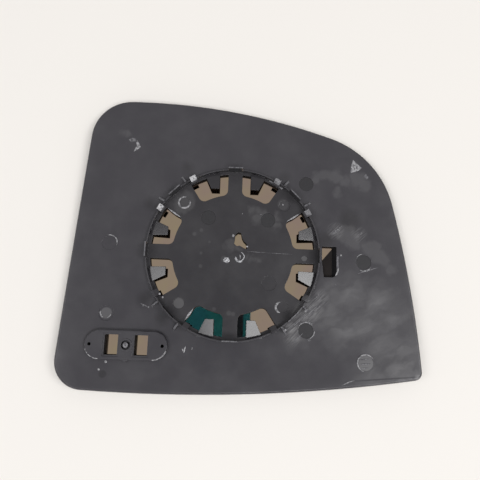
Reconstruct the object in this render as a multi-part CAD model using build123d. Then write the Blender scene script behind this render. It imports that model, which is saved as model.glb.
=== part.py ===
from build123d import *
import os
from math import hypot, radians, sqrt, tan

# Car door mirror glass: a moulded backing plate with a clip ring, a die-cut sheet of adhesive and a
# convex mirror. Millimetres. The origin lies on the clip ring's axis in its flat seat. +Z points out
# of the back, and the back is seen with +X to the right and +Y up.

# Outline of the plate: each corner is the point where two bowed edges would meet, from the ring's axis
lower_left_reach = 83.8
lower_left_drop = 67.2
lower_right_reach = 93.0
lower_right_drop = 57.7
upper_right_reach = 73.9
upper_right_rise = 52.6
upper_left_reach = 73.5
upper_left_rise = 76.8
bottom_bow = 5.4
right_bow = 3.3
top_bow = 10.0
left_bow = 0.8
lower_left_round = 14.0
lower_right_round = 4.0
upper_right_round = 48.0
upper_left_round = 21.0

# Layers, from the convex front to the back, with their heights taken on the ring's axis
mirror_radius = 1300.0
glass_thickness = 2.0
adhesive_thickness = 0.6
plate_thickness = 2.4
seat_over_glass = 3.2

# Skirt of the plate round the glass, and the rounded edge of its back
skirt_width = 1.8
skirt_setback = 0.3
glass_clearance = 0.2
edge_round = 1.6

# Adhesive sheet: its margin inside the skirt, and its holes
adhesive_margin = 3.0
adhesive_hole_radius = 43.6
adhesive_relief_margin = 1.5
adhesive_notch_width = 9.0
adhesive_notch_length = 20.0
adhesive_notch_angle = 50.0
adhesive_notch_rise = 0.4

# Clip ring: a low curved wall with a taller straight tab every 45 degrees
ring_bore_radius = 42.9
ring_wall = 0.7
ring_height = 2.6
tab_width = 7.2
tab_thickness = 0.6
tab_set_in = 0.3
tab_height = 6.8

# Eight windows in the seat, a mirrored pair beside each of the four straight bridges
window_inner_radius = 30.4
window_outer_radius = 41.3
window_corner_round = 3.0
axis_bridge_width = 7.3
diagonal_bridge_angle = 24.0

# Sprung tongue in each window: it rises from the ring towards its tip
tongue_gap = 4.3
tongue_root_width = 7.9
tongue_tip_width = 4.2
tongue_length = 7.8
tongue_thickness = 1.1
tongue_root_rise = 0.8
tongue_tip_rise = 2.8
tongue_hold = 1.0

# Hooked lugs and buttress fins, one of each on both sides of every diagonal
lug_angle = 15.0
lug_width = 3.2
lug_set_out = 0.9
lug_height = 5.8
lug_lead_in = 2.4
lug_lead_in_drop = 1.1
lug_overhang = 2.4
lug_nose_bevel = 0.8
lug_nose_height = 0.5
lug_stem_depth = 1.5
fin_angle = 9.6
fin_width = 0.9
fin_reach = 4.3
fin_height = 3.6
fin_toe = 0.3

# Raised terminal pad at the lower left: two windows, a round post and two pinholes
pad_x = -49.3
pad_y = -46.4
pad_length = 39.6
pad_width = 14.0
pad_rise = 2.2
pad_edge = 0.5
terminal_pitch = 14.2
terminal_width = 6.3
terminal_height = 9.5
terminal_step_margin = 0.8
terminal_step_depth = 0.3
post_radius = 1.3
post_height = 0.9
collar_radius = 3.0
collar_height = 0.3
well_radius = 2.2
well_depth = 1.6
pinhole_radius = 0.8
pinhole_pitch = 34.6
point_width = 3.0
point_reach = 1.2

# Slot beside the ring: its far side slopes out to the back and ends in a raised lip
slot_x = 44.9
slot_y = -2.4
slot_width = 5.4
slot_height = 15.4
slot_taper = 0.9
slot_lower_round = 2.4
slot_ramp = 1.8
lip_width = 1.0
lip_length = 6.0
lip_height = 0.5

# Torn hole beside the middle of the seat: the points of its ragged rim, and how far they are rounded
tear_rim = [
    (1.0, 9.9), (2.4, 11.1), (3.9, 10.9), (4.4, 8.6), (5.2, 7.0), (7.8, 4.3),
    (7.0, 2.6), (5.5, 3.1), (3.4, 4.3), (1.9, 4.0), (0.4, 5.3), (0.8, 7.4),
]
tear_round = 0.3

# Round ejector marks, sunk a little into the back: distance across and along, and radius
mark_depth = 0.2
bridge_mark_offset = 25.6
bridge_mark_radius = 2.8
plate_mark_radius = 3.7
spare_mark_x = 36.1
spare_mark_y = -1.1
spare_mark_radius = 1.5
seat_marks = [(17.3, 17.9), (18.6, -14.2), (-13.0, 18.1)]
plate_marks = [(36.4, 37.5), (37.2, -36.7), (65.6, -2.0), (-61.8, 3.2), (-60.4, -31.6), (66.0, -51.0)]

# Levels worked out from the layers
glass_back = -seat_over_glass
glass_front = glass_back - glass_thickness
plate_under = glass_back + adhesive_thickness
plate_top = plate_under + plate_thickness
skirt_front = glass_front + skirt_setback
curve_centre = glass_front + mirror_radius
deep = glass_front - 2 * plate_thickness
span = max(lower_right_reach, upper_left_rise, lower_left_reach, lower_left_drop)
high = tab_height + lug_height + 2 * span * span / mirror_radius
ring_outer_radius = ring_bore_radius + ring_wall
tab_face = ring_bore_radius - tab_set_in
quarters = [0, 90, 180, 270]
eighths = [0, 45, 90, 135, 180, 225, 270, 315]
diagonals = [45, 135, 225, 315]


def ball(level):
    """Ball round the mirror's centre of curvature that crosses the ring's axis at this height."""
    return Pos(0, 0, curve_centre) * Rot(90, 0, 0) * Sphere(curve_centre - level)


def back_height(radius):
    """Height of the plate's dished back at this distance from the ring's axis."""
    return curve_centre - sqrt((curve_centre - plate_top) ** 2 - radius ** 2)


def prism(sketch, low, top):
    """Sketch on the seat plane, drawn out from one height to another."""
    return Pos(0, 0, low) * extrude(sketch, amount=top - low)


def layer(sketch, lower, upper):
    """Sketch drawn out between two of the curved levels."""
    return (prism(sketch, deep, high) & ball(lower)) - ball(upper)


def upright(points, width):
    """Closed outline in radius and height, drawn out to a width across the radius."""
    side = make_face(Plane.XZ * Polyline(*points, close=True))
    return extrude(side, amount=width / 2, both=True)


def all_round(shape, angles):
    """Copies of a shape, turned about the ring's axis."""
    return [Rot(0, 0, angle) * shape for angle in angles]


def bowed_edge(start, end, bow):
    """Arc from start to end whose middle stands out to the right of the way it runs."""
    way = end - start
    middle = (start + end) / 2 + Vector(way.Y, -way.X).normalized() * bow
    return ThreePointArc(start, middle, end)


def plate_outline():
    """Outer edge of the plate: four bowed edges that meet in rounded corners."""
    corners = [
        Vector(-lower_left_reach, -lower_left_drop),
        Vector(lower_right_reach, -lower_right_drop),
        Vector(upper_right_reach, upper_right_rise),
        Vector(-upper_left_reach, upper_left_rise),
    ]
    bows = [bottom_bow, right_bow, top_bow, left_bow]
    rounds = [lower_left_round, lower_right_round, upper_right_round, upper_left_round]
    ends = corners[1:] + corners[:1]
    edges = [bowed_edge(start, end, bow) for start, end, bow in zip(corners, ends, bows)]
    outline = make_face(edges)
    for corner, radius in zip(corners, rounds):
        outline = fillet(outline.vertices().sort_by_distance(corner)[0], radius)
    return outline


def window_sketch():
    """One window beside the bridge along +X, above the axis."""
    edge = axis_bridge_width / 2
    far = 2 * window_outer_radius
    slope = radians(45 - diagonal_bridge_angle / 2)
    wedge = make_face(Polyline(
        (edge / tan(slope), edge),
        (far, edge),
        (far, far * tan(slope)),
        close=True,
    ))
    window = (Circle(window_outer_radius) - Circle(window_inner_radius)) & wedge
    middle = (window_outer_radius + window_inner_radius) / 2
    inner = [corner for corner in window.vertices() if hypot(corner.X, corner.Y) < middle]
    return fillet(inner, window_corner_round)


def eight_windows():
    """The mirrored pair of windows beside each bridge."""
    window = window_sketch()
    pair = [window, mirror(window, about=Plane.XZ)]
    return [copy for shape in pair for copy in all_round(shape, quarters)]


def tongue():
    """Sprung tongue in the window above +X: a tapering strip that slopes up from a foot to its free tip."""
    near = axis_bridge_width / 2 + tongue_gap
    root = sqrt(window_outer_radius ** 2 - near ** 2)
    tip = root - tongue_length
    held = root + tongue_hold
    rise = (tongue_tip_rise - tongue_root_rise) / tongue_length
    held_top = tongue_root_rise - rise * tongue_hold
    flare = (tongue_root_width - tongue_tip_width) / tongue_length
    plan = make_face(Polyline(
        (tip, near),
        (held, near),
        (held, near + tongue_root_width + flare * tongue_hold),
        (tip, near + tongue_tip_width),
        close=True,
    ))
    blank = prism(plan, deep, high)
    across = 4 * (near + tongue_root_width)
    strip = blank & upright([
        (tip, tongue_tip_rise),
        (tip, tongue_tip_rise - tongue_thickness),
        (held, held_top - tongue_thickness),
        (held, held_top),
    ], across)
    foot = blank & upright([
        (tip, tongue_tip_rise),
        (tip, plate_under),
        (held, plate_under),
        (held, held_top),
    ], across)
    return strip + (foot - prism(Circle(window_outer_radius), deep, high))


def lug():
    """Hooked lug on +X: an upright stem whose nose leans in over the window, with a sloping lead-in."""
    back = ring_bore_radius + lug_set_out
    stem = back - lug_stem_depth
    nose = ring_bore_radius - lug_overhang
    lead_end = lug_height - lug_lead_in_drop
    nose_top = lead_end - lug_nose_bevel
    under = nose_top - lug_nose_height
    return upright([
        (stem, plate_under),
        (back, plate_under),
        (back, lug_height),
        (back - lug_lead_in, lead_end),
        (nose, nose_top),
        (nose, under),
        (stem, under),
    ], lug_width)


def fin():
    """Buttress fin on +X: it leans on the ring's wall and runs out onto the plate."""
    start = ring_bore_radius + ring_wall / 3
    toe = start + fin_reach
    return upright([
        (start, plate_under),
        (toe, plate_under),
        (toe, back_height(toe) + fin_toe),
        (ring_outer_radius, fin_height),
        (start, fin_height),
    ], fin_width)


def ring_wall_sketch():
    """Curved wall of the clip ring, open at every straight tab."""
    wall = Circle(ring_outer_radius) - Circle(ring_bore_radius)
    gap = Pos(ring_bore_radius, 0) * Rectangle(4 * ring_wall, tab_width)
    return wall - all_round(gap, eighths)


def tab():
    """Straight upright tab on +X, a little wider than the gap that it stands behind."""
    middle = tab_face + tab_thickness / 2
    bar = Pos(middle, 0) * Rectangle(tab_thickness, tab_width + 2 * ring_wall)
    tall = Pos(middle, 0) * Rectangle(tab_thickness, tab_width)
    return prism(bar, deep, ring_height) + prism(tall, deep, tab_height)


def tear_sketch():
    """Torn hole: a ragged oval with a tail that tapers away from it."""
    tear = make_face(Polyline(*tear_rim, close=True))
    return fillet(tear.vertices(), tear_round)


def slot_opening(far):
    """Slot as far as this edge: it narrows towards its lower end, where its far corner is rounded."""
    low = slot_y - slot_height / 2
    top = slot_y + slot_height / 2
    opening = make_face(Polyline(
        (slot_x, top),
        (slot_x, slot_y),
        (slot_x + slot_taper, low),
        (far, low),
        (far, top),
        close=True,
    ))
    return fillet(opening.vertices().sort_by_distance((far, low))[0], slot_lower_round)


def slot_cut():
    """Slot through the plate, with a far side that slopes out to the back."""
    edge = slot_x + slot_width
    floor = back_height(edge) - plate_thickness
    slope = slot_ramp / plate_thickness
    side = [(slot_x, floor), (edge, floor), (edge + slope * (high - floor), high), (slot_x, high)]
    ramp = prism(slot_opening(edge + slot_ramp), deep, high) & upright(side, 4 * slot_height)
    return prism(slot_opening(edge), deep, high) + ramp


def slot_lip():
    """Raised lip on the plate along the slot's far side."""
    edge = slot_x + slot_width + slot_ramp
    lip = Pos(edge, slot_y) * Rectangle(lip_width, lip_length, align=(Align.MIN, Align.CENTER))
    return layer(lip, plate_under, plate_top + lip_height)


def terminal_windows(margin):
    """The two terminal windows, grown by a margin."""
    opening = Rectangle(terminal_width + 2 * margin, terminal_height + 2 * margin)
    return [Pos(pad_x + side * terminal_pitch / 2, pad_y) * opening for side in (-1, 1)]


def pinholes():
    """The two pinholes near the pad's ends."""
    hole = Circle(pinhole_radius)
    return [Pos(pad_x + side * pinhole_pitch / 2, pad_y) * hole for side in (-1, 1)]


def terminal_pad():
    """Raised pad with its point, its stepped windows, and a post that stands in a round well."""
    pad_top = plate_top + pad_rise
    point = make_face(Polyline(
        (-point_width / 2, -pad_width / 2),
        (0, -pad_width / 2 - point_reach),
        (point_width / 2, -pad_width / 2),
        (0, 0),
        close=True,
    ))
    place = Pos(pad_x, pad_y)
    pad = layer(place * SlotOverall(pad_length, pad_width), plate_under, pad_top)
    top = pad.faces().filter_by(GeomType.SPHERE).sort_by(Axis.Z)[-1]
    pad = chamfer(top.edges(), pad_edge)
    pad += layer(place * point, plate_under, pad_top - pad_edge)
    pad += layer(place * Circle(collar_radius), plate_under, pad_top + collar_height)
    steps = [prism(opening, deep, high) for opening in terminal_windows(terminal_step_margin)]
    pad -= [step & ball(pad_top - terminal_step_depth) for step in steps]
    pad -= prism(place * Circle(well_radius), deep, high) & ball(pad_top - well_depth)
    return pad + layer(place * Circle(post_radius), plate_under, pad_top + post_height)


def clip_ring():
    """Flat seat with its windows, the ring's wall and tabs, and the tongues, lugs and fins round it."""
    seat = Circle(ring_bore_radius + ring_wall / 2) - eight_windows() - tear_sketch()
    spring = tongue()
    pieces = [prism(ring_wall_sketch(), deep, ring_height)]
    pieces += all_round(tab(), eighths)
    pieces += all_round(spring, quarters)
    pieces += all_round(mirror(spring, about=Plane.XZ), quarters)
    for side in (-1, 1):
        pieces += all_round(lug(), [angle + side * lug_angle for angle in diagonals])
        pieces += all_round(fin(), [angle + side * fin_angle for angle in diagonals])
    return (prism(seat, deep, 0) + pieces) & ball(plate_under)


def ejector_marks():
    """Shallow round pits that the mould's ejector pins leave in the seat and in the plate's back."""
    corner = bridge_mark_offset
    bridge_marks = [(corner, corner), (-corner, corner), (-corner, -corner), (corner, -corner)]
    flat = [Pos(x, y) * Circle(bridge_mark_radius) for x, y in bridge_marks]
    flat += [Pos(x, y) * Circle(plate_mark_radius) for x, y in seat_marks]
    flat.append(Pos(spare_mark_x, spare_mark_y) * Circle(spare_mark_radius))
    pits = [prism(pit, -mark_depth, high) for pit in flat]
    for x, y in plate_marks:
        pin = prism(Pos(x, y) * Circle(plate_mark_radius), deep, high)
        pits.append(pin & ball(plate_top - mark_depth))
    return pits


def eased(blank):
    """Back edge of the blank rounded off by two flats, which touch the round and need few facets."""
    back = blank.faces().filter_by(GeomType.SPHERE).sort_by(Axis.Z)[-1]
    along = edge_round * (1 - tan(radians(15)))
    down = along * tan(radians(30))
    blank = chamfer(back.edges(), along, down, reference=back)
    sides = blank.faces().filter_by(GeomType.CYLINDER)
    rims = [side.edges().filter_by(GeomType.LINE, reverse=True).sort_by(Axis.Z)[-1] for side in sides]
    return chamfer(rims, along - down)


def backing_plate():
    """One moulding: dished plate, skirt, clip ring and terminal pad."""
    outline = plate_outline()
    blank = eased(layer(outline, skirt_front, plate_top))
    tray = prism(offset(outline, -skirt_width), deep, high) - ball(plate_under)
    plate = blank - [tray, prism(Circle(ring_bore_radius), deep, high)]
    plate -= prism(Pos(pad_x, pad_y) * Circle(well_radius), deep, high)
    plate += [clip_ring(), terminal_pad(), slot_lip()]
    openings = terminal_windows(0) + pinholes()
    cuts = [slot_cut()] + [prism(opening, deep, high) for opening in openings]
    return plate - cuts - ejector_marks()


def adhesive_sheet():
    """Die-cut sheet between plate and glass, open under the ring, the notch and the terminal pad."""
    sheet = offset(plate_outline(), -(skirt_width + adhesive_margin))
    sheet -= Circle(adhesive_hole_radius)
    relief_length = terminal_pitch + terminal_width + 2 * adhesive_relief_margin
    sheet -= Pos(pad_x, pad_y) * Rectangle(relief_length, terminal_height + 2 * adhesive_relief_margin)
    notch = Rectangle(adhesive_notch_length, adhesive_notch_width, align=(Align.CENTER, Align.MIN))
    sheet -= Pos(slot_x, slot_y + adhesive_notch_rise) * Rot(0, 0, adhesive_notch_angle) * notch
    return layer(sheet, glass_back, plate_under)


def mirror_glass():
    """Convex mirror, of even thickness, set in the skirt."""
    outline = offset(plate_outline(), -(skirt_width + glass_clearance))
    return layer(outline, glass_front, glass_back)


os.makedirs("parts", exist_ok=True)
export_step(backing_plate(), "parts/backing_plate.step")
export_step(adhesive_sheet(), "parts/adhesive_sheet.step")
export_step(mirror_glass(), "parts/mirror_glass.step")
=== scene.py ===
from math import atan2, cos, hypot, pi, radians, sin, sqrt, tan

import bmesh
import bpy
from bpy.props import FloatProperty, FloatVectorProperty, PointerProperty
from bpy.types import Operator, Panel, PropertyGroup
from mathutils import Matrix, Vector, noise


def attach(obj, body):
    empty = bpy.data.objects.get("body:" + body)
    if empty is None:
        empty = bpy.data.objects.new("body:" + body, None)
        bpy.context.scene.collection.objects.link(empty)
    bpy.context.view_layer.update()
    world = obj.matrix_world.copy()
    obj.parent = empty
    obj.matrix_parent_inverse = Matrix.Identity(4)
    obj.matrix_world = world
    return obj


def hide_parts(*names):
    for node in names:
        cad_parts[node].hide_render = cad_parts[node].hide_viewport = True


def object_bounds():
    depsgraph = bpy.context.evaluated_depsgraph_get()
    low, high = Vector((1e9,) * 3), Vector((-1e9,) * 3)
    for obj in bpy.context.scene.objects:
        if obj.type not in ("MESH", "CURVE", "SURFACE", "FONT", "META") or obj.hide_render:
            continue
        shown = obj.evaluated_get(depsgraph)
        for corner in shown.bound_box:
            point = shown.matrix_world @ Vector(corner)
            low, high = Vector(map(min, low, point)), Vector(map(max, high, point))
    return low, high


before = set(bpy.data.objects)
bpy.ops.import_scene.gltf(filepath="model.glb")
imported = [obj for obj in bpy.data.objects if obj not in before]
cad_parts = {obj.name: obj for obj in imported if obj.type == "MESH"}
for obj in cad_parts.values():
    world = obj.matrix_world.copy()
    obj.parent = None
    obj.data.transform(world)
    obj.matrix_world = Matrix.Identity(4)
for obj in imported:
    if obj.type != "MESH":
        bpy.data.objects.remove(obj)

bl_info = {
    "name": "Door mirror glass",
    "version": (1, 0, 0),
    "blender": (4, 5, 0),
    "location": "View3D > Sidebar > Mirror glass",
    "description": "Dresses the back of a car door mirror glass and sets its stage",
    "category": "Object",
}

MM = 0.001
BODY = "root"
CAD_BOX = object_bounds()
ABS_IOR = 1.52

# The plate's corners are joined within this distance, and edges flatter than this angle are shaded smooth
MERGE_DISTANCE = 0.001 * MM
SMOOTH_ANGLE = radians(35)

# Slots of the plate's faces. Side walls are painted darker as shade, and the ring's own walls share the slot
# of the dark floors, also as painted shade
# The last two slots are pale paint that stands in for highlights on edges
SKIN, SHADED_SIDE_WALL, DARK_FLOOR_AND_SHADED_RING_WALL, HIGHLIT_EDGE, WHITE_HIGHLIT_EDGE = range(5)

# Sockets of the Mix node, by number because several share a name
FACTOR = 0
VALUE_A, VALUE_B = 2, 3
COLOUR_A, COLOUR_B, COLOUR_OUT = 6, 7, 2

# What every colour setting has in common
COLOUR = {"subtype": "COLOR", "size": 3, "min": 0.0, "max": 1.0}

# Lengths and places from here on are in millimetres. A round place is across, along and radius

# The plate's back: the seat's radius, the dish's level on the ring's axis and its centre of curvature
SEAT_RADIUS = 42.9
DISH_LEVEL = -0.2
DISH_CENTRE = 1294.8

# Ejector marks whose floors are drawn dark
DARK_MARKS = (
    (17.3, 17.9, 3.7), (-13.0, 18.1, 3.7), (36.4, 37.5, 3.7), (37.2, -36.7, 3.7), (65.6, -2.0, 3.7),
)
MARK_DEPTH = 0.2

# Ejector marks whose floors were scraped pale
PALE_MARKS = ((-25.6, -25.6, 2.6), (-60.4, -31.6, 2.7), (66.0, -51.0, 3.7), (36.1, -1.1, 1.4))

# Faint specks on the seat, and two ejector marks with a little dust in them
SPECKS = (
    (-11.9, 5.6, 0.6), (-15.9, -0.2, 0.7), (-15.8, -6.8, 0.9), (-0.7, -29.5, 1.2),
    (1.3, -29.9, 1.0), (-8.1, -27.8, 0.9), (-16.3, 11.5, 0.9), (-19.7, 9.4, 1.0),
    (24.8, 26.4, 2.8), (-4.2, -2.8, 1.6), (66.0, -51.0, 3.7),
)

# Soft smears on the back, the dusty patches at its lower right, and the places rubbed into fine strokes
SMEARS = (
    (41.9, 40.9, 3.0), (46.0, 42.4, 3.5), (51.0, 42.0, 3.5), (55.8, 40.2, 3.0), (62.9, 39.8, 4.0),
    (66.5, 38.0, 3.5), (52.5, 34.2, 2.0), (-57.5, 60.8, 2.0), (12.0, 18.5, 2.2), (9.2, 23.8, 2.2),
    (13.3, 22.6, 2.4), (22.1, 19.4, 2.0), (21.5, 15.1, 1.6), (-1.2, 4.4, 2.4), (2.2, 3.0, 1.6),
    (8.0, -1.3, 1.0), (10.6, -2.6, 1.2), (12.8, -3.6, 1.0), (-25.6, 25.6, 5.0), (56.4, 13.1, 4.5),
    (60.5, 8.0, 4.0), (69.8, 4.8, 4.5), (74.0, 0.0, 4.0), (79.0, -4.4, 3.0), (82.0, -54.0, 4.5),
    (87.0, -54.5, 3.5),
)
DUST_PATCHES = (
    (59.7, -20.0, 8.0), (71.4, -22.0, 8.0), (79.0, -28.0, 6.0), (56.2, -36.6, 7.0),
    (66.4, -34.3, 8.0), (75.3, -42.1, 9.0), (84.0, -46.0, 6.0), (49.0, -28.1, 7.0),
    (42.0, -30.0, 6.0), (50.0, -19.0, 4.0), (69.1, -56.0, 5.0), (33.0, -39.0, 4.0),
    (82.0, -54.0, 6.5),
)
RUBBED = (
    (35.5, -30.0, 4.5), (31.0, -36.0, 3.5), (39.5, -25.5, 4.5), (44.0, -20.5, 2.5),
    (30.5, -40.5, 2.5), (51.6, 13.5, 2.5), (63.4, 12.0, 2.0),
)

# Darker places: the seat and a small one below the pad, which are clean, and spots of painted shadow round
# the ring, where its walls and lugs shade the plate
CLEAN = ((0.0, 0.0, SEAT_RADIUS), (-59.5, -60.3, 1.8))
PAINTED_SHADE_SPOTS = (
    (-33.5, -33.5, 2.5), (-42.5, -24.5, 3.0), (47.0, 8.5, 3.5), (25.5, 41.0, 1.8),
    (-25.0, 44.0, 2.5), (-43.0, 24.0, 2.5), (58.9, 19.4, 5.0),
)

# Line of painted shade along the crease of the plate's lower edge, and the painted highlight on the tip of
# its right corner
CREASE_SHADE_LINE = (69.0, -58.6, 0.0)
CREASE_SHADE_TURN = radians(5.8)
CREASE_SHADE_HALF_WIDTH = 0.35
CORNER_HIGHLIGHT = (90.6, -57.0, 1.3)

# Where the moulding has side walls that the eye sees, painted dark as shade: inside this radius, and round
# the terminal pad
RING_REACH = 55.0
PAD_CENTRE = (-49.3, -46.4)
PAD_REACH = 21.0

# Side walls face up by less than the first share, and the pad's sloped sides by less than the second
WALL_RISE = 0.65
PAD_SLOPE_RISE = 0.8

# The pad's sloped sides are painted white as a highlight at both ends where they face down the plate
PAD_END = 8.0
PAD_DOWNWARD = -0.2

# The ring's own walls: this far over the seat, and no further than this inside its edge
RING_FOOT = 0.5

# The ring's band, and the heights of its edges painted pale as highlights: the fins', and the tops' in its
# upper and lower half
RING_BAND = (SEAT_RADIUS - 1.0, SEAT_RADIUS + 5.0)
FIN_START = SEAT_RADIUS + 1.7
FIN_EDGE = (1.2, 3.2)
UPPER_TOPS = 4.8
LOWER_TOPS = 5.9

# The lugs whose tops are painted white as a highlight, and the two tabs whose tops get no painted highlight
HIGHLIT_LUGS = ((-21.9, 37.9, 4.0), (-37.9, 21.9, 4.0))
UNHIGHLIT_TABS = ((43.9, 0.0, 5.0), (-31.0, -31.0, 5.0))

# The low bar beside the slot, whose top is painted grey as a highlight: its middle, half its size and its
# foot
BAR_CENTRE = (52.6, -1.6)
BAR_HALF = (0.8, 4.0)
BAR_FOOT = 0.1

# Springs and lead-ins are the faces that slope a little: how far they face up, and the spread of that
SPRING_RISE = 0.935
SPRING_SPREAD = 0.05

# They were moulded against polished steel: their roughness, and an even level in place of the grain
POLISHED_ROUGHNESS = 0.19
POLISHED_RELIEF = 0.5

# Faces of the glass that face up by more than this are its coated back
COAT_RISE = 0.5

# Patterns of the wear: clouds of haze, wandering edges, wiped streaks and fine strokes
CLOUD_SIZE = 18.18
WANDER_SIZE = 6.25
WANDER_REACH = 9.0
WIPE_TURN = radians(28)
WIPE_SIZE = (24.0, 5.0, 1.0)
STROKE_TURN = radians(43)
STROKE_SIZE = (6.0, 0.55, 1.0)

# Share of dust in each kind of place
SMEAR_DUST = 0.1
SPECK_DUST = 0.08
PALE_DUST = 0.21
# The corner's tip is painted pale as a highlight
CORNER_HIGHLIGHT_SHARE = 0.5

# The post of the terminal pad and its domed cap
POST_HEIGHT = 3.1
CAP_RADIUS = 1.3
CAP_RISE = 0.45

# Small pieces lie a little in or over the surface, so that none floats or flickers
LIP_SUNK = 0.05
CAP_SUNK = 0.02
SCRATCH_SUNK = 0.02
FLAKE_LIFT = 0.03

# Lumps: how far the skin is pushed in and out, as a share of the size, and how many waves it has
LUMP_PUSH = 0.35
LUMP_WAVES = 1.4

# Lips: the share that is left at the ends, and how fast they thicken along the arc
LIP_TIP = 0.2
LIP_TAPER = 5.0

# Scratches: height of the burr by their width, reach and waves of their wandering, and how thin they end
BURR_RISE = 0.22
SCRATCH_WANDER = 0.12
SCRATCH_WAVES = 4.0
SCRATCH_TIP = 0.06

# Crumbs differ by their seeds, which count up from here
CRUMB_SEED = 11


def linear(hex_colour):
    """Linear colour for an sRGB hex value."""
    channels = [int(hex_colour[i:i + 2], 16) / 255 for i in (0, 2, 4)]
    return tuple(c / 12.92 if c <= 0.04045 else ((c + 0.055) / 1.055) ** 2.4 for c in channels)


def add_node(tree, kind, settings, links):
    """Node of this kind: settings are its own properties or unlinked sockets, links feed its sockets."""
    node = tree.nodes.new("ShaderNode" + kind)
    for name, value in settings.items():
        if isinstance(name, str) and hasattr(node, name):
            setattr(node, name, value)
        else:
            node.inputs[name].default_value = value
    for name, source in links.items():
        tree.links.new(source, node.inputs[name])
    return node


def new_material(name):
    """Material with an empty node tree, which the caller fills."""
    material = bpy.data.materials.new(name)
    material.use_nodes = True
    material.node_tree.nodes.clear()
    return material, material.node_tree


def spots(tree, plan, places, blur):
    """Mask of round spots on the plan, each blurred at its edge."""
    mask = None
    for across, along, radius in places:
        away = add_node(
            tree, "VectorMath", {"operation": "DISTANCE", 1: (across, along, 0.0)}, {0: plan})
        spot = add_node(
            tree, "MapRange",
            {"From Min": radius - blur / 2, "From Max": radius + blur / 2, "To Min": 1.0, "To Max": 0.0},
            {"Value": away.outputs["Value"]}).outputs[0]
        if mask is not None:
            spot = add_node(tree, "Math", {"operation": "MAXIMUM"}, {0: mask, 1: spot}).outputs[0]
        mask = spot
    return mask


def dress(obj, material):
    """One material all over a piece."""
    obj.data.materials.clear()
    obj.data.materials.append(material)


def back_height(across, along):
    """Height of the seat or of the dished plate at a place on its back."""
    radius = hypot(across, along)
    if radius < SEAT_RADIUS:
        return 0.0
    return DISH_CENTRE - sqrt((DISH_CENTRE - DISH_LEVEL) ** 2 - radius ** 2)


def within(point, places):
    """Whether a point lies in one of these round places."""
    return any(hypot(point.x - across, point.y - along) < radius for across, along, radius in places)


def plate_slot(face):
    """Slot of a face of the plate, from where it lies and which way it faces."""
    centre = face.calc_center_median() / MM
    out = hypot(centre.x, centre.y)
    above = centre.z - back_height(centre.x, centre.y)
    from_bar = (abs(centre.x - BAR_CENTRE[0]), abs(centre.y - BAR_CENTRE[1]))
    # The bar's top is painted grey as a highlight
    if from_bar[0] < BAR_HALF[0] and from_bar[1] < BAR_HALF[1] and above > BAR_FOOT:
        return HIGHLIT_EDGE

    from_pad = abs(centre.x - PAD_CENTRE[0])
    at_pad = max(from_pad, abs(centre.y - PAD_CENTRE[1])) < PAD_REACH
    # Side walls near the ring and round the pad are painted dark as shade
    if face.normal.z < WALL_RISE:
        if not at_pad and out >= RING_REACH:
            return SKIN
        ring_wall = centre.z > RING_FOOT and out > SEAT_RADIUS - RING_FOOT
        return DARK_FLOOR_AND_SHADED_RING_WALL if ring_wall and not at_pad else SHADED_SIDE_WALL
    if at_pad and face.normal.z < PAD_SLOPE_RISE:
        # The pad's ends are painted white as a highlight
        scraped = face.normal.y < PAD_DOWNWARD and from_pad > PAD_REACH - PAD_END
        return WHITE_HIGHLIT_EDGE if scraped else SKIN

    if within(centre, DARK_MARKS) and above < -MARK_DEPTH / 2:
        return DARK_FLOOR_AND_SHADED_RING_WALL
    # Tops of tabs and lugs and the fins' edges are painted pale as highlights
    top_edge = above > (UPPER_TOPS if centre.y > 0 else LOWER_TOPS) and not within(centre, UNHIGHLIT_TABS)
    if top_edge and within(centre, HIGHLIT_LUGS):
        return WHITE_HIGHLIT_EDGE
    fin_edge = out > FIN_START and FIN_EDGE[0] < above < FIN_EDGE[1]
    return HIGHLIT_EDGE if RING_BAND[0] < out < RING_BAND[1] and (fin_edge or top_edge) else SKIN


def add_piece(shape, name, material):
    """Shape in millimetres made into a smooth piece that rides the body."""
    bmesh.ops.scale(shape, vec=(MM, MM, MM), verts=shape.verts)
    bmesh.ops.recalc_face_normals(shape, faces=shape.faces)
    for face in shape.faces:
        face.smooth = True
    mesh = bpy.data.meshes.new(name)
    shape.to_mesh(mesh)
    shape.free()
    piece = bpy.data.objects.new(name, mesh)
    bpy.context.scene.collection.objects.link(piece)
    dress(piece, material)
    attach(piece, BODY)


def add_lump(shape, across, along, size, lift, seed):
    """Lumpy drop on the back: a ball of this size with its skin pushed in and out."""
    made = bmesh.ops.create_icosphere(shape, subdivisions=4, radius=1.0)
    centre = Vector((across, along, back_height(across, along) + lift))
    for vert in made["verts"]:
        push = 1.0 + LUMP_PUSH * noise.noise(vert.co * LUMP_WAVES + Vector((seed, seed, 0.0)))
        sized = Vector([length * half for length, half in zip(vert.co, size)])
        vert.co = centre + sized * push


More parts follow.
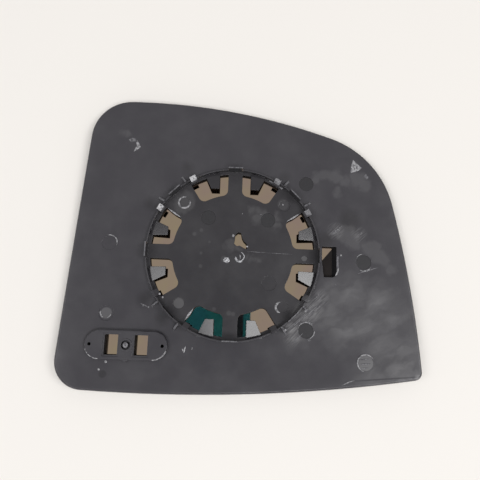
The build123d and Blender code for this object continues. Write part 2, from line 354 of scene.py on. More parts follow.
def add_lip(shape, across, along, radius, width, height, start, turn):
    """Raised lip on an arc, with its angles in degrees: a half-round strip, spun and thinned at both ends."""
    old = set(shape.verts)
    sides = 8
    start = radians(start)
    turn = radians(turn)
    ring = [shape.verts.new((radius + width / 2 * cos(pi * i / sides), 0.0, height * sin(pi * i / sides)))
            for i in range(sides + 1)]
    edges = [shape.edges.new(pair) for pair in zip(ring, ring[1:] + ring[:1])]
    bmesh.ops.spin(shape, geom=ring + edges, cent=(0, 0, 0), axis=(0, 0, 1), dvec=(0, 0, 0), angle=turn,
                   steps=56, use_merge=False, use_duplicate=False)
    for vert in [vert for vert in shape.verts if vert not in old]:
        angle = atan2(vert.co.y, vert.co.x)
        way = (angle % (2 * pi)) / turn
        thin = max(LIP_TIP, min(1.0, LIP_TAPER * way, LIP_TAPER * (1.0 - way))) ** 0.5
        out = radius + (hypot(vert.co.x, vert.co.y) - radius) * thin
        vert.co = Vector((across + out * cos(angle + start), along + out * sin(angle + start),
                          back_height(across, along) + vert.co.z * thin - LIP_SUNK))
    open_edges = [edge for edge in shape.edges if edge.is_boundary]
    bmesh.ops.holes_fill(shape, edges=open_edges, sides=0)


def add_flake(shape, points, height):
    """Flake of torn plastic on the back: an outline, drawn up to a low peak."""
    rim = [shape.verts.new((x, y, back_height(x, y) + FLAKE_LIFT)) for x, y in points]
    made = bmesh.ops.contextual_create(shape, geom=rim)
    for vert in bmesh.ops.poke(shape, faces=made["faces"])["verts"]:
        vert.co.z = back_height(vert.co.x, vert.co.y) + height


def add_scratch(shape, start, end, width):
    """Scratch whose turned-up burr stands a little over the surface, thin at both ends."""
    old = set(shape.verts)
    bmesh.ops.create_grid(shape, x_segments=12, y_segments=2, size=0.5)
    run = Vector(end) - Vector(start)
    side = Vector((-run.y, run.x)).normalized()
    for vert in [vert for vert in shape.verts if vert not in old]:
        way = vert.co.x + 0.5
        swell = sin(pi * (SCRATCH_TIP + (1 - 2 * SCRATCH_TIP) * way))
        wander = SCRATCH_WANDER * noise.noise(Vector((way * SCRATCH_WAVES, start[0], start[1])))
        point = Vector(start) + run * way + side * (vert.co.y * width * swell + wander)
        on_ridge = abs(vert.co.y) < 0.1
        rise = BURR_RISE * width * swell if on_ridge else -SCRATCH_SUNK
        vert.co = Vector((point.x, point.y, back_height(point.x, point.y) + rise))


class FinishSettings(PropertyGroup):
    """Colours and grain of the surfaces."""
    plate_colour: FloatVectorProperty(
        name="Plate", description="Black ABS of the backing plate", default=linear("353338"), **COLOUR)
    seat_colour: FloatVectorProperty(
        name="Seat", description="Black ABS of the seat inside the clip ring",
        default=linear("29272B"), **COLOUR)
    # This colour also paints the highlight on the corner's tip
    dust_and_highlight_colour: FloatVectorProperty(
        name="Dust", description="Road dust rubbed into the plate's grain",
        default=linear("8E8D8E"), **COLOUR)
    # This colour also paints the white highlights on the pad's ends and two lugs
    stress_white_and_highlight_colour: FloatVectorProperty(
        name="Stress white", description="ABS that has been bent or scraped white",
        default=linear("ADACAF"), **COLOUR)
    # This colour also paints the grey highlights on the ring's edges and the bar
    worn_and_highlight_colour: FloatVectorProperty(
        name="Worn edges", description="ABS that is rubbed grey along its edges",
        default=linear("6F6E72"), **COLOUR)
    coat_colour: FloatVectorProperty(
        name="Mirror back", description="Metal coat on the back of the glass",
        default=linear("D3BFA0"), **COLOUR)
    coat_tint: FloatVectorProperty(
        name="Mirror back tint", description="Pinker bloom in the metal coat",
        default=linear("CFB6A6"), **COLOUR)
    front_colour: FloatVectorProperty(
        name="Mirror front", description="Mirror seen through the front of the glass",
        default=linear("C9CBCC"), **COLOUR)
    adhesive_colour: FloatVectorProperty(
        name="Adhesive", description="Adhesive sheet under the plate", default=linear("1E1918"), **COLOUR)
    grain: FloatProperty(
        name="Grain", description="Width of the moulded grain", subtype="DISTANCE", unit="LENGTH",
        default=0.6 * MM)


class StageSettings(PropertyGroup):
    """Table, lamps and camera."""
    table_colour: FloatVectorProperty(
        name="Table", description="Pale table top", default=linear("F0ECE7"), **COLOUR)
    card_colour: FloatVectorProperty(
        name="Card", description="Studio card over the object, seen only in its mirror",
        default=linear("1C5E70"), **COLOUR)
    camera_place: FloatVectorProperty(
        name="Camera", description="Place of the camera", subtype="TRANSLATION", unit="LENGTH", size=3,
        default=(1.35 * MM, -33.95 * MM, 238.9 * MM))
    camera_pitch: FloatProperty(
        name="Pitch", description="Tilt of the camera away from straight down", subtype="ANGLE",
        unit="ROTATION", default=radians(9.74))
    camera_roll: FloatProperty(
        name="Roll", description="Lean of the camera to one side", subtype="ANGLE", unit="ROTATION",
        default=radians(-0.87))
    camera_yaw: FloatProperty(
        name="Yaw", description="Turn of the camera about the upright", subtype="ANGLE", unit="ROTATION",
        default=radians(2.21))
    lens: FloatProperty(
        name="Lens", description="Focal length on a 36 mm sensor, in millimetres", default=36.0)
    lamp_level: FloatProperty(
        name="Soft boxes", description="Brightness of a soft box whose share is 1, against a white of 1",
        default=7.7)
    lamp_distance: FloatProperty(
        name="Distance", description="Distance of the soft boxes", subtype="DISTANCE", unit="LENGTH",
        default=3.0)
    world_level: FloatProperty(
        name="Room light", description="Level of the even light from above", default=0.38)
    wall_level: FloatProperty(
        name="Walls", description="Level of the room's pale walls, low all round", default=0.95)


def plate_dust_shade_and_highlight(tree, plan, cloud):
    """Share of dust over the plate's back: haze, smears, specks, dusty patches and fine strokes, with a
    painted highlight on the corner's tip and painted shade along the lower edge's crease.
    """
    # Smears and patches have wandering edges
    wander = add_node(tree, "TexNoise", {"Scale": 1 / WANDER_SIZE, "Detail": 3.0}, {"Vector": plan})
    wander = add_node(
        tree, "VectorMath",
        {"operation": "MULTIPLY_ADD", 1: (WANDER_REACH, WANDER_REACH, 0.0),
         2: (-WANDER_REACH / 2, -WANDER_REACH / 2, 0.0)},
        {0: wander.outputs["Color"]}).outputs[0]
    loose_plan = add_node(tree, "VectorMath", {"operation": "ADD"}, {0: plan, 1: wander}).outputs[0]

    # Haze lies over the whole back, and the back is drawn a little paler towards its top
    haze = add_node(
        tree, "MapRange", {"From Min": 0.42, "From Max": 0.72, "To Min": 0.0, "To Max": 0.04},
        {"Value": cloud}).outputs[0]
    along = add_node(tree, "SeparateXYZ", {}, {0: plan}).outputs["Y"]
    upper = add_node(
        tree, "MapRange", {"From Min": -70.0, "From Max": 70.0, "To Min": 0.0, "To Max": 0.04},
        {"Value": along}).outputs[0]
    dust = add_node(tree, "Math", {"operation": "ADD"}, {0: haze, 1: upper}).outputs[0]

    # Smears, specks and scraped ejector marks each add their own share of dust, and the corner's tip a
    # painted highlight
    rounds = (
        (spots(tree, loose_plan, SMEARS, blur=2.0), SMEAR_DUST),
        (spots(tree, plan, SPECKS, blur=0.6), SPECK_DUST),
        (spots(tree, plan, PALE_MARKS, blur=0.5), PALE_DUST),
        (spots(tree, plan, [CORNER_HIGHLIGHT], blur=1.5), CORNER_HIGHLIGHT_SHARE),
    )
    for mask, share in rounds:
        dust = add_node(
            tree, "Math", {"operation": "MULTIPLY_ADD", 1: share}, {0: mask, 2: dust}).outputs[0]

    # The dusty patches were wiped in streaks
    patches = spots(tree, loose_plan, DUST_PATCHES, blur=12.0)
    wiped_plan = add_node(
        tree, "Mapping",
        {"vector_type": "TEXTURE", "Rotation": (0.0, 0.0, WIPE_TURN), "Scale": WIPE_SIZE},
        {"Vector": loose_plan}).outputs[0]
    wiped = add_node(tree, "TexNoise", {"Scale": 1.0, "Detail": 3.0}, {"Vector": wiped_plan}).outputs[0]
    wiped = add_node(
        tree, "MapRange", {"From Min": 0.35, "From Max": 0.65, "To Min": 0.13, "To Max": 0.32},
        {"Value": wiped}).outputs[0]

    # Near the lower right corner a line of painted shade lies along the crease where the edge rounds over
    fold_plan = add_node(
        tree, "Mapping",
        {"vector_type": "TEXTURE", "Location": CREASE_SHADE_LINE, "Rotation": (0.0, 0.0, CREASE_SHADE_TURN)},
        {"Vector": plan}).outputs[0]
    from_fold = add_node(tree, "SeparateXYZ", {}, {0: fold_plan})
    fold = add_node(
        tree, "Math", {"operation": "COMPARE", 1: 0.0, 2: CREASE_SHADE_HALF_WIDTH},
        {0: from_fold.outputs["Y"]}).outputs[0]
    crease_darkening = add_node(
        tree, "MapRange", {"From Min": -14.0, "From Max": -2.0, "To Min": 0.0, "To Max": -0.2},
        {"Value": from_fold.outputs["X"]}).outputs[0]

    # Scuffs are fine strokes from lower left to upper right, only where the back has been rubbed
    rubbed = spots(tree, plan, RUBBED, blur=5.0)
    stroke_plan = add_node(
        tree, "Mapping",
        {"vector_type": "TEXTURE", "Rotation": (0.0, 0.0, STROKE_TURN), "Scale": STROKE_SIZE},
        {"Vector": plan}).outputs[0]
    strokes = add_node(
        tree, "TexNoise", {"Scale": 1.0, "Detail": 3.0, "Roughness": 0.65},
        {"Vector": stroke_plan}).outputs[0]
    strokes = add_node(
        tree, "MapRange", {"From Min": 0.42, "From Max": 0.7, "To Min": 0.0, "To Max": 0.7},
        {"Value": strokes}).outputs[0]

    for mask, share in ((patches, wiped), (fold, crease_darkening), (rubbed, strokes)):
        dust = add_node(
            tree, "Math", {"operation": "MULTIPLY_ADD"}, {0: mask, 1: share, 2: dust}).outputs[0]
    return dust


def moulded_abs(settings):
    """Matt black ABS, moulded against a spark-eroded tool: fine grain, smoother springs, dust and scuffs,
    with painted shade and highlights.
    """
    material, tree = new_material("black_abs_moulded")
    place = add_node(tree, "TexCoord", {}, {})
    plan = add_node(
        tree, "Mapping", {"Scale": (1 / MM, 1 / MM, 0.0)}, {"Vector": place.outputs["Object"]}).outputs[0]

    # Real spark-eroded grain is about 0.1 mm: it is drawn coarser, so that it can be seen at all
    grain = add_node(
        tree, "TexNoise", {"Scale": 1.0 / settings.grain, "Detail": 3.0},
        {"Vector": place.outputs["Object"]}).outputs[0]
    upward = add_node(tree, "SeparateXYZ", {}, {0: place.outputs["Normal"]}).outputs["Z"]
    polished = add_node(
        tree, "Math", {"operation": "COMPARE", 1: SPRING_RISE, 2: SPRING_SPREAD}, {0: upward}).outputs[0]

    # The seat and some small places are darker than the plate, the spots round the ring being painted shadow,
    # and dust lies over both
    clean = spots(tree, plan, CLEAN, blur=0.5)
    painted_shade = spots(tree, plan, PAINTED_SHADE_SPOTS, blur=4.0)
    dark = add_node(tree, "Math", {"operation": "MAXIMUM"}, {0: clean, 1: painted_shade}).outputs[0]
    colour = add_node(
        tree, "Mix",
        {"data_type": "RGBA", COLOUR_A: (*settings.plate_colour, 1.0),
         COLOUR_B: (*settings.seat_colour, 1.0)},
        {FACTOR: dark}).outputs[COLOUR_OUT]
    cloud = add_node(
        tree, "TexNoise", {"Scale": 1 / CLOUD_SIZE, "Detail": 4.0, "Roughness": 0.6},
        {"Vector": plan}).outputs[0]
    colour = add_node(
        tree, "Mix", {"data_type": "RGBA", COLOUR_B: (*settings.dust_and_highlight_colour, 1.0)},
        {FACTOR: plate_dust_shade_and_highlight(tree, plan, cloud), COLOUR_A: colour}).outputs[COLOUR_OUT]

    rough = add_node(
        tree, "MapRange", {"From Min": 0.3, "From Max": 0.7, "To Min": 0.28, "To Max": 0.36},
        {"Value": cloud}).outputs[0]
    rough = add_node(
        tree, "Mix", {"data_type": "FLOAT", VALUE_B: POLISHED_ROUGHNESS},
        {FACTOR: polished, VALUE_A: rough}).outputs[0]

    soft_edge = add_node(tree, "Bevel", {"samples": 6, "Radius": 0.25 * MM}, {}).outputs[0]
    relief = add_node(
        tree, "Mix", {"data_type": "FLOAT", VALUE_B: POLISHED_RELIEF},
        {FACTOR: polished, VALUE_A: grain}).outputs[0]
    bump = add_node(
        tree, "Bump", {"Strength": 0.3, "Distance": 0.06 * MM}, {"Height": relief, "Normal": soft_edge})
    shader = add_node(
        tree, "BsdfPrincipled", {"IOR": ABS_IOR},
        {"Base Color": colour, "Roughness": rough, "Normal": bump.outputs[0]})
    add_node(tree, "OutputMaterial", {}, {"Surface": shader.outputs[0]})
    return material


def plain_abs(name, colour, roughness, level):
    """Dull black ABS, darker than the plate: painted shade on side walls and ring walls, and the dark floors
    of ejector marks.
    """
    material, tree = new_material(name)
    place = add_node(tree, "TexCoord", {}, {}).outputs["Object"]

    # Marks of the tool are about 0.1 mm: they are drawn at 0.7 mm, so that they can be seen
    grain = add_node(
        tree, "TexNoise", {"Scale": 1.0 / (0.7 * MM), "Detail": 3.0}, {"Vector": place}).outputs[0]
    tone = add_node(
        tree, "MapRange", {"From Min": 0.3, "From Max": 0.7, "To Min": 0.85, "To Max": 1.15},
        {"Value": grain}).outputs[0]
    mixed = add_node(tree, "VectorMath", {"operation": "SCALE", 0: colour}, {"Scale": tone}).outputs[0]
    bump = add_node(tree, "Bump", {"Strength": 0.3, "Distance": 0.05 * MM}, {"Height": grain})
    shader = add_node(
        tree, "BsdfPrincipled", {"Roughness": roughness, "Specular IOR Level": level},
        {"Base Color": mixed, "Normal": bump.outputs[0]})
    add_node(tree, "OutputMaterial", {}, {"Surface": shader.outputs[0]})
    return material


def torn_abs(settings, name, colour, roughness):
    """ABS that has been scraped, melted or torn: paler than the moulded skin, uneven and a little shiny. Its
    pale colour also paints highlights on edges and small raised parts.
    """
    material, tree = new_material(name)
    place = add_node(tree, "TexCoord", {}, {}).outputs["Object"]

    # Torn plastic breaks up into flecks of about 0.9 mm
    flecks = add_node(
        tree, "TexNoise", {"Scale": 1.0 / (0.9 * MM), "Detail": 3.0}, {"Vector": place}).outputs[0]
    pale = add_node(tree, "MapRange", {"From Min": 0.3, "From Max": 0.6}, {"Value": flecks}).outputs[0]
    mixed = add_node(
        tree, "Mix",
        {"data_type": "RGBA", COLOUR_A: (*settings.plate_colour, 1.0), COLOUR_B: (*colour, 1.0)},
        {FACTOR: pale}).outputs[COLOUR_OUT]
    bump = add_node(tree, "Bump", {"Strength": 0.4, "Distance": 0.08 * MM}, {"Height": flecks})
    shader = add_node(
        tree, "BsdfPrincipled", {"IOR": ABS_IOR, "Roughness": roughness},
        {"Base Color": mixed, "Normal": bump.outputs[0]})
    add_node(tree, "OutputMaterial", {}, {"Surface": shader.outputs[0]})
    return material


def coated_mirror(settings):
    """Vacuum-coated glass: a warm metal coat on the back, a clear neutral mirror from the front."""
    material, tree = new_material("mirror_glass_coated")
    place = add_node(tree, "TexCoord", {}, {})
    upward = add_node(tree, "SeparateXYZ", {}, {0: place.outputs["Normal"]}).outputs["Z"]
    behind = add_node(tree, "Math", {"operation": "GREATER_THAN", 1: COAT_RISE}, {0: upward}).outputs[0]

    # The coat's bloom comes and goes over about 14 mm
    bloom = add_node(
        tree, "TexNoise", {"Scale": 1.0 / (14 * MM), "Detail": 3.0},
        {"Vector": place.outputs["Object"]}).outputs[0]
    bloom = add_node(tree, "MapRange", {"From Min": 0.35, "From Max": 0.65}, {"Value": bloom}).outputs[0]
    coat = add_node(
        tree, "Mix",
        {"data_type": "RGBA", COLOUR_A: (*settings.coat_colour, 1.0), COLOUR_B: (*settings.coat_tint, 1.0)},
        {FACTOR: bloom}).outputs[COLOUR_OUT]
    colour = add_node(
        tree, "Mix", {"data_type": "RGBA", COLOUR_A: (*settings.front_colour, 1.0)},
        {FACTOR: behind, COLOUR_B: coat}).outputs[COLOUR_OUT]
    rough = add_node(tree, "MapRange", {"To Min": 0.01, "To Max": 0.03}, {"Value": bloom}).outputs[0]
    shader = add_node(
        tree, "BsdfPrincipled", {"Metallic": 1.0}, {"Base Color": colour, "Roughness": rough})
    add_node(tree, "OutputMaterial", {}, {"Surface": shader.outputs[0]})
    return material


def adhesive_film(settings):
    """Black acrylic adhesive on a thin foam carrier: dull and slightly brown."""
    material, tree = new_material("acrylic_adhesive_film")
    place = add_node(tree, "TexCoord", {}, {}).outputs["Object"]

    # The foam's cells are about 0.1 mm: they are drawn at 0.8 mm, so that they can be seen
    cells = add_node(
        tree, "TexNoise", {"Scale": 1.0 / (0.8 * MM), "Detail": 2.0}, {"Vector": place}).outputs[0]
    bump = add_node(tree, "Bump", {"Strength": 0.3, "Distance": 0.05 * MM}, {"Height": cells})
    rough = add_node(tree, "MapRange", {"To Min": 0.6, "To Max": 0.8}, {"Value": cells}).outputs[0]
    shader = add_node(
        tree, "BsdfPrincipled",
        {"Base Color": (*settings.adhesive_colour, 1.0), "Specular IOR Level": 0.2},
        {"Roughness": rough, "Normal": bump.outputs[0]})
    add_node(tree, "OutputMaterial", {}, {"Surface": shader.outputs[0]})
    return material


def table_top(settings):
    """White laminate table: pale, warm and dull."""
    material, tree = new_material("white_laminate_table")
    place = add_node(tree, "TexCoord", {}, {}).outputs["Object"]

    # The sheen changes over about 120 mm, as on a table top that has been wiped
    cloud = add_node(
        tree, "TexNoise", {"Scale": 1.0 / (120 * MM), "Detail": 1.0}, {"Vector": place}).outputs[0]
    rough = add_node(tree, "MapRange", {"To Min": 0.55, "To Max": 0.65}, {"Value": cloud}).outputs[0]
    shader = add_node(
        tree, "BsdfPrincipled",
        {"Base Color": (*settings.table_colour, 1.0), "Specular IOR Level": 0.2}, {"Roughness": rough})
    add_node(tree, "OutputMaterial", {}, {"Surface": shader.outputs[0]})
    return material


def studio_card(name, colour):
    """Plain studio card: flat, dull and even."""
    material, tree = new_material(name)
    shader = add_node(
        tree, "BsdfPrincipled",
        {"Base Color": (*colour, 1.0), "Roughness": 0.9, "Specular IOR Level": 0.1}, {})
    add_node(tree, "OutputMaterial", {}, {"Surface": shader.outputs[0]})
    return material


class MIRRORGLASS_OT_backing_plate(Operator):
    """Dress the moulded backing plate, with its rim's flats shaded as one round"""
    bl_idname = "mirrorglass.backing_plate"
    bl_label = "Backing plate"

    def execute(self, context):
        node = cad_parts["backing_plate"]
        shape = bmesh.new()
        shape.from_mesh(node.data)
        bmesh.ops.remove_doubles(shape, verts=shape.verts, dist=MERGE_DISTANCE)
        for face in shape.faces:
            face.smooth = True
            face.material_index = plate_slot(face)
        for edge in shape.edges:
            edge.smooth = edge.is_manifold and edge.calc_face_angle() < SMOOTH_ANGLE
        mesh = bpy.data.meshes.new("moulded_plate")
        shape.to_mesh(mesh)
        shape.free()
        plate = bpy.data.objects.new("moulded_plate", mesh)
        context.scene.collection.objects.link(plate)
        weighted = plate.modifiers.new("weighted_normals", "WEIGHTED_NORMAL")
        weighted.keep_sharp = True
        shaded = plate.evaluated_get(context.evaluated_depsgraph_get())
        finished = bpy.data.meshes.new_from_object(shaded)
        plate.modifiers.clear()
        plate.data = finished

        # In the order of the slots
        settings = context.scene.mirrorglass_finish
        materials = (
            moulded_abs(settings),
            # The next two are darker copies of the black ABS, as painted shade on walls and the dark floors
            plain_abs("black_abs_side_walls_painted_shade", linear("1C1B1D"), roughness=0.8, level=0.15),
            plain_abs("black_abs_ejector_floors_and_shaded_ring_walls", linear("2A292C"), roughness=0.4, level=0.5),
            # Pale copies of the black ABS, painted as highlights along edges
            torn_abs(settings, "black_abs_edge_highlights", settings.worn_and_highlight_colour, roughness=0.3),
            torn_abs(settings, "black_abs_white_edge_highlights", settings.stress_white_and_highlight_colour, roughness=0.3),
        )
        for material in materials:
            finished.materials.append(material)
        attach(plate, BODY)
        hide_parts("backing_plate")
        return {"FINISHED"}


class MIRRORGLASS_OT_adhesive_sheet(Operator):
    """Dress the adhesive sheet"""
    bl_idname = "mirrorglass.adhesive_sheet"
    bl_label = "Adhesive sheet"

    def execute(self, context):
        dress(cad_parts["adhesive_sheet"], adhesive_film(context.scene.mirrorglass_finish))
        return {"FINISHED"}


class MIRRORGLASS_OT_mirror_glass(Operator):
    """Dress the coated mirror glass"""
    bl_idname = "mirrorglass.mirror_glass"
    bl_label = "Mirror glass"

    def execute(self, context):
        dress(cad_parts["mirror_glass"], coated_mirror(context.scene.mirrorglass_finish))
        return {"FINISHED"}


class MIRRORGLASS_OT_gate_marks(Operator):
    """Add the melted stub of the mould's gate and the curled sliver beside it, drawn near white as a painted
    highlight
    """
    bl_idname = "mirrorglass.gate_marks"
    bl_label = "Gate marks"

    def execute(self, context):
        settings = context.scene.mirrorglass_finish
        shape = bmesh.new()
        add_lump(shape, -3.0, -3.3, size=(1.5, 1.4, 0.4), lift=0.0, seed=3.0)
        add_lump(shape, -3.0, -3.4, size=(0.9, 0.9, 0.7), lift=0.0, seed=8.0)
        # Each lip: across, along, radius, width, height, the angle where it starts and how far it turns
        lips = (
            (3.6, -1.8, 2.0, 1.2, 0.7, 170, 140),
            (3.6, -1.2, 2.2, 0.6, 0.5, 290, 150),
            (0.9, -1.6, 3.0, 0.5, 0.5, -24, 48),
        )
        for lip in lips:
            add_lip(shape, *lip)
        # Near white, as a painted highlight on the black stub and sliver
        melted = torn_abs(settings, "black_abs_melted_painted_highlight", linear("C9C9CD"), roughness=0.2)
        add_piece(shape, "gate_marks", melted)
        return {"FINISHED"}


class MIRRORGLASS_OT_mark_flash(Operator):
    """Add the thin flash that stands round the ejector marks, drawn pale as a painted highlight on its raised
    rings
    """
    bl_idname = "mirrorglass.mark_flash"
    bl_label = "Flash round ejector marks"

    def execute(self, context):
        settings = context.scene.mirrorglass_finish
        shape = bmesh.new()
        # Each lip: across, along, radius, width, height, the angle where it starts and how far it turns
        lips = (
            (-25.6, 25.6, 2.9, 1.1, 0.5, 75, 310), (24.9, -25.8, 2.6, 1.2, 0.4, 100, 160),
            (-61.8, 3.2, 3.9, 0.7, 0.3, -15, 115), (-60.6, -31.4, 2.6, 0.8, 0.3, 165, 80),
            (-60.6, -31.4, 2.6, 0.6, 0.3, 290, 55), (37.2, -36.7, 4.1, 0.7, 0.25, 40, 110),
            (37.2, -36.7, 4.2, 0.8, 0.25, -85, 95), (65.6, -2.0, 4.4, 0.8, 0.25, -115, 140),
            (65.6, -2.0, 4.1, 0.4, 0.2, 100, 50), (66.0, -51.0, 4.0, 0.7, 0.3, 20, 250),
        )
        for lip in lips:
            add_lip(shape, *lip)
        add_lump(shape, 24.8, 26.4, size=(0.4, 0.4, 0.15), lift=0.0, seed=2.0)
        # Paler than black ABS, as a painted highlight on the raised rings
        flash = torn_abs(settings, "black_abs_flash_painted_highlight", linear("9A999C"), roughness=0.34)
        add_piece(shape, "mark_flash", flash)
        return {"FINISHED"}


class MIRRORGLASS_OT_post_cap(Operator):
    """Add the domed top of the terminal pad's post, drawn pale grey as a painted highlight"""
    bl_idname = "mirrorglass.post_cap"
    bl_label = "Post cap"

    def execute(self, context):
        settings = context.scene.mirrorglass_finish
        shape = bmesh.new()
        steps = 8
        angles = [pi / 2 * i / steps for i in range(1, steps + 1)]
        rim = [shape.verts.new((CAP_RADIUS * sin(angle), 0.0, CAP_RISE * cos(angle))) for angle in angles]
        edges = [shape.edges.new(pair) for pair in zip(rim, rim[1:])]
        bmesh.ops.spin(shape, geom=rim + edges, cent=(0, 0, 0), axis=(0, 0, 1), dvec=(0, 0, 0),
                       angle=2 * pi, steps=32, use_merge=True, use_duplicate=False)
        open_edges = [edge for edge in shape.edges if edge.is_boundary]
        bmesh.ops.holes_fill(shape, edges=open_edges, sides=0)
        top = back_height(*PAD_CENTRE) + POST_HEIGHT
        bmesh.ops.translate(shape, verts=shape.verts, vec=(*PAD_CENTRE, top - CAP_SUNK))
        # Grey, as a painted highlight on the dome
        polished = torn_abs(settings, "black_abs_polished_painted_highlight", linear("77767A"), roughness=0.25)
        add_piece(shape, "post_cap", polished)
        return {"FINISHED"}


class MIRRORGLASS_OT_scratches(Operator):
    """Add the scratches whose burrs catch the light, the crumbs of torn plastic, and pale strokes painted as
    highlights along window edges and the slot's rim
    """
    bl_idname = "mirrorglass.scratches"
    bl_label = "Scratches and crumbs"

    def execute(self, context):
        settings = context.scene.mirrorglass_finish
        # Strokes: start, end and width. Crumbs: across, along, radius and height over the back
        dull_strokes = (
            ((7.4, 1.5), (18.0, 1.2), 0.3), ((17.0, 1.2), (29.9, 0.8), 0.28),
            ((32.4, -33.4), (42.6, -22.4), 0.5), ((34.6, -32.2), (42.4, -24.6), 0.5),
            ((37.8, -30.4), (46.6, -21.8), 0.5), ((29.4, -36.2), (35.4, -30.6), 0.6),
            ((31.0, -42.6), (36.0, -37.6), 0.5), ((40.6, -22.0), (44.4, -17.4), 0.5),
            ((62.1, 10.2), (65.1, 13.4), 0.8), ((62.6, -7.8), (72.8, -4.4), 0.6),
            ((63.2, -51.6), (68.4, -51.2), 0.6), ((63.0, -49.6), (67.8, -49.0), 0.5),
            ((63.6, -53.4), (67.4, -53.2), 0.5), ((-44.3, -26.3), (-40.6, -27.8), 0.7),
            ((49.2, 11.4), (55.1, 16.4), 0.9), ((50.6, 11.8), (54.0, 14.2), 0.7),
        )
        dull_crumbs = (
            (51.7, -13.8, 0.4, 0.0), (13.5, 20.8, 0.3, 0.0), (4.2, 20.8, 0.3, 0.0),
            (39.8, -33.2, 0.6, 0.0), (38.8, -41.1, 0.7, 0.0), (-40.2, -28.0, 0.5, 0.0),
            (-42.8, -27.5, 0.45, 0.0),
        )
        white_strokes_and_highlights = (
            # The first five strokes are painted highlights: three along the windows' edges and two along the
            # slot's rim
            ((26.9, 17.6), (33.8, 22.1), 0.8), ((-33.8, 22.1), (-26.9, 17.6), 0.8),
            ((-22.2, -33.6), (-18.4, -28.0), 1.0), ((53.0, -4.6), (52.8, -7.4), 0.6),
            ((52.9, -6.8), (51.7, -9.2), 0.7), ((-21.1, -46.0), (-21.8, -49.4), 0.9),
            ((-22.6, -47.2), (-22.2, -48.6), 0.6), ((-17.7, -46.4), (-17.9, -47.8), 0.5),
        )
        white_crumbs_and_highlight = (
            # The third crumb, at 54.4, 1.2, is a painted highlight on the slot's rim
            (-58.6, -54.6, 0.6, 0.0), (-61.5, -58.3, 0.5, 0.0), (54.4, 1.2, 0.5, 0.0),
            (7.2, 4.0, 0.5, 0.0), (36.7, -27.3, 0.5, 2.1), (27.1, -36.7, 0.5, 2.1),
            (-34.5, -21.6, 0.5, 5.6), (-33.7, -22.9, 0.45, 0.0),
        )
        scraped = torn_abs(settings, "black_abs_scraped", settings.worn_and_highlight_colour, roughness=0.4)
        # Its pale colour also paints the highlights among these strokes
        scraped_white = torn_abs(
            settings, "black_abs_scraped_white_and_highlights", settings.stress_white_and_highlight_colour, roughness=0.4)
        groups = (
            ("scratches", dull_strokes, dull_crumbs, scraped),
            ("white_scratches_and_highlights", white_strokes_and_highlights, white_crumbs_and_highlight, scraped_white),
        )
        for name, strokes, crumbs, material in groups:
            shape = bmesh.new()
            for start, end, width in strokes:
                add_scratch(shape, start, end, width)
            for seed, (across, along, radius, lift) in enumerate(crumbs, CRUMB_SEED):
                add_lump(shape, across, along, (radius, radius, radius / 2), lift, seed)
            add_piece(shape, name, material)
        return {"FINISHED"}


class MIRRORGLASS_OT_flakes(Operator):
    """Add the flakes where the plastic has been bent and torn white, and a pale strip painted as a highlight
    on the ring's top
    """
    bl_idname = "mirrorglass.flakes"
    bl_label = "Stress-white flakes"

    def execute(self, context):
        settings = context.scene.mirrorglass_finish
        white_flakes_and_highlight = (
            ((-52.3, 57.2), (-51.5, 57.0), (-50.5, 55.4), (-49.6, 53.6), (-51.5, 54.0)),
            ((-51.5, 54.1), (-49.6, 53.7), (-50.7, 52.5), (-53.0, 50.8), (-52.2, 53.2)),
            ((60.3, 51.0), (64.7, 46.8), (62.9, 45.2), (59.1, 44.0), (59.4, 47.8)),
            ((54.1, -61.9), (57.9, -60.3), (60.7, -59.2), (58.2, -59.6)),
            ((-0.7, 9.3), (-0.2, 10.0), (0.6, 9.6), (0.3, 8.7), (-0.4, 8.6)),
            # This outline is a painted highlight on the ring's top beside the upper right lug
            ((17.3, 38.4), (21.8, 36.0), (24.0, 34.4), (24.6, 34.9), (22.2, 36.6), (17.6, 39.0)),
        )
        dull_flakes = (
            ((-55.9, 57.2), (-54.1, 58.2), (-52.3, 57.8), (-52.2, 56.5), (-54.7, 56.0)),
            ((65.8, 42.6), (67.0, 43.7), (67.7, 42.4), (68.7, 42.2), (67.2, 40.8)),
        )
        white = torn_abs(settings, "black_abs_stress_white_and_highlight", linear("9C9B9E"), roughness=0.5)
        dull = torn_abs(settings, "black_abs_dull_flakes", settings.worn_and_highlight_colour, roughness=0.5)
        # Each group: name, outlines, height of the peaks and material
        groups = (("flakes", white_flakes_and_highlight, 0.15, white), ("dull_flakes", dull_flakes, 0.1, dull))
        for name, outlines, peak, material in groups:
            shape = bmesh.new()
            for points in outlines:
                add_flake(shape, points, peak)
            add_piece(shape, name, material)
        return {"FINISHED"}


def add_sheet(scene, name, size, middle, material):
    """Flat sheet of the stage, facing up, with its size and middle in metres."""
    shape = bmesh.new()
    bmesh.ops.create_grid(shape, x_segments=1, y_segments=1, size=0.5)
    bmesh.ops.scale(shape, verts=shape.verts, vec=(*size, 1.0))
    bmesh.ops.translate(shape, verts=shape.verts, vec=middle)
    mesh = bpy.data.meshes.new(name)
    shape.to_mesh(mesh)
    shape.free()
    sheet = bpy.data.objects.new(name, mesh)
    scene.collection.objects.link(sheet)
    dress(sheet, material)
    return sheet


def light_room(scene, settings):
    """Even light from above and pale walls low all round."""
    world = bpy.data.worlds.new("room")
    world.use_nodes = True
    scene.world = world
    tree = world.node_tree
    tree.nodes.clear()
    way = add_node(tree, "TexCoord", {}, {}).outputs["Generated"]
    rise = add_node(tree, "SeparateXYZ", {}, {0: way}).outputs["Z"]
    level = add_node(
        tree, "MapRange",
        {"From Min": 0.0, "From Max": 0.3, "To Min": settings.wall_level, "To Max": settings.world_level},
        {"Value": rise})
    light = add_node(
        tree, "Background", {"Color": (1.0, 1.0, 1.0, 1.0)}, {"Strength": level.outputs[0]})
    add_node(tree, "OutputWorld", {}, {"Surface": light.outputs[0]})


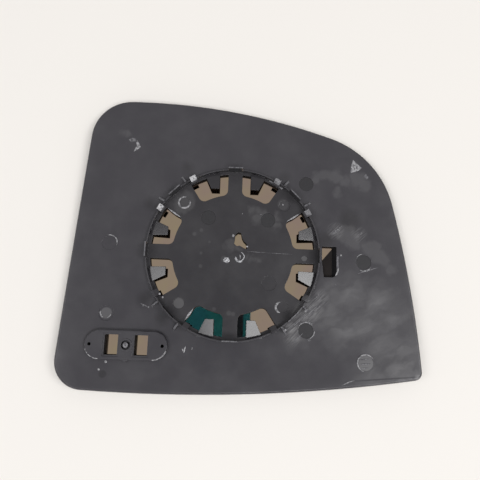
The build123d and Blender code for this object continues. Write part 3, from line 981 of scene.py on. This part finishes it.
def hang_soft_boxes(scene, settings):
    """Round soft boxes in a half ring on the near side, all at one distance."""
    # Each box: the way to it, half its angle in degrees and its share of the level
    boxes = (
        ((0.585, -0.01, 0.81), 9.9, 1.15), ((0.34, -0.41, 0.845), 8.0, 1.1),
        ((0.07, -0.50, 0.865), 7.1, 1.15), ((-0.335, -0.42, 0.84), 7.0, 0.9),
        ((-0.585, -0.03, 0.81), 9.7, 0.7),
    )
    for number, (way, half_angle, share) in enumerate(boxes, 1):
        radius = settings.lamp_distance * tan(radians(half_angle))
        lamp = bpy.data.lights.new(f"soft_box_{number}", "AREA")
        lamp.shape = "DISK"
        lamp.size = 2 * radius
        # An even disk gives off pi times its area times its brightness
        lamp.energy = settings.lamp_level * share * pi * pi * radius ** 2
        box = bpy.data.objects.new(lamp.name, lamp)
        scene.collection.objects.link(box)
        box.location = Vector(way).normalized() * settings.lamp_distance
        box.rotation_mode = "QUATERNION"
        box.rotation_quaternion = (-Vector(way)).to_track_quat("-Z", "Y")


def set_camera(scene, settings):
    """Camera over the object, looking down on its back."""
    camera = bpy.data.objects.new("camera", bpy.data.cameras.new("camera"))
    scene.collection.objects.link(camera)
    camera.data.sensor_width = 36.0
    camera.data.lens = settings.lens
    camera.data.clip_start = 10 * MM
    yaw = Matrix.Rotation(settings.camera_yaw, 4, "Z")
    pitch = Matrix.Rotation(settings.camera_pitch, 4, "X")
    roll = Matrix.Rotation(settings.camera_roll, 4, "Y")
    camera.matrix_world = Matrix.Translation(settings.camera_place) @ (yaw @ pitch @ roll)
    scene.camera = camera


class MIRRORGLASS_OT_stage(Operator):
    """Lay the table, hang the soft boxes and set the camera"""
    bl_idname = "mirrorglass.stage"
    bl_label = "Stage"

    def execute(self, context):
        settings = context.scene.mirrorglass_stage
        scene = context.scene
        scene.view_settings.view_transform = "Standard"

        table_width = 6.0
        table = add_sheet(scene, "table", (table_width, table_width), (0, 0, CAD_BOX[0].z),
                          table_top(settings))

        # A dyed card over the near windows and the black strip on its right, seen only in the mirror
        card_depth = 34 * MM
        card_middle = -18 * MM
        cards = (
            ("card", -48, 16.3, 300, studio_card("dyed_card", settings.card_colour)),
            ("card_strip", 1, 10, 299, studio_card("black_card", linear("1C2532"))),
        )
        for name, left, right, height, material in cards:
            card = add_sheet(scene, name, ((right - left) * MM, card_depth),
                             ((left + right) / 2 * MM, card_middle, height * MM), material)
            card.visible_camera = False
            card.visible_diffuse = False
            card.visible_shadow = False

        light_room(scene, settings)
        hang_soft_boxes(scene, settings)
        set_camera(scene, settings)
        return {"FINISHED"}


class MIRRORGLASS_PT_panel(Panel):
    """Lists the pieces of the mirror glass"""
    bl_idname = "MIRRORGLASS_PT_panel"
    bl_label = "Door mirror glass"
    bl_space_type = "VIEW_3D"
    bl_region_type = "UI"
    bl_category = "Mirror glass"

    def draw(self, context):
        for operator in OPERATORS:
            self.layout.operator(operator.bl_idname)
        for settings in (context.scene.mirrorglass_finish, context.scene.mirrorglass_stage):
            box = self.layout.box()
            for name in settings.__annotations__:
                box.prop(settings, name)


OPERATORS = (
    MIRRORGLASS_OT_backing_plate,
    MIRRORGLASS_OT_adhesive_sheet,
    MIRRORGLASS_OT_mirror_glass,
    MIRRORGLASS_OT_gate_marks,
    MIRRORGLASS_OT_mark_flash,
    MIRRORGLASS_OT_post_cap,
    MIRRORGLASS_OT_scratches,
    MIRRORGLASS_OT_flakes,
    MIRRORGLASS_OT_stage,
)
CLASSES = (FinishSettings, StageSettings, *OPERATORS, MIRRORGLASS_PT_panel)


def register():
    for item in CLASSES:
        bpy.utils.register_class(item)
    bpy.types.Scene.mirrorglass_finish = PointerProperty(type=FinishSettings)
    bpy.types.Scene.mirrorglass_stage = PointerProperty(type=StageSettings)


def unregister():
    del bpy.types.Scene.mirrorglass_stage
    del bpy.types.Scene.mirrorglass_finish
    for item in reversed(CLASSES):
        bpy.utils.unregister_class(item)


def main():
    """Registers the add-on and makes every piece."""
    register()
    bpy.ops.mirrorglass.backing_plate()
    bpy.ops.mirrorglass.adhesive_sheet()
    bpy.ops.mirrorglass.mirror_glass()
    bpy.ops.mirrorglass.gate_marks()
    bpy.ops.mirrorglass.mark_flash()
    bpy.ops.mirrorglass.post_cap()
    bpy.ops.mirrorglass.scratches()
    bpy.ops.mirrorglass.flakes()
    bpy.ops.mirrorglass.stage()


if __name__ == "__main__":
    main()
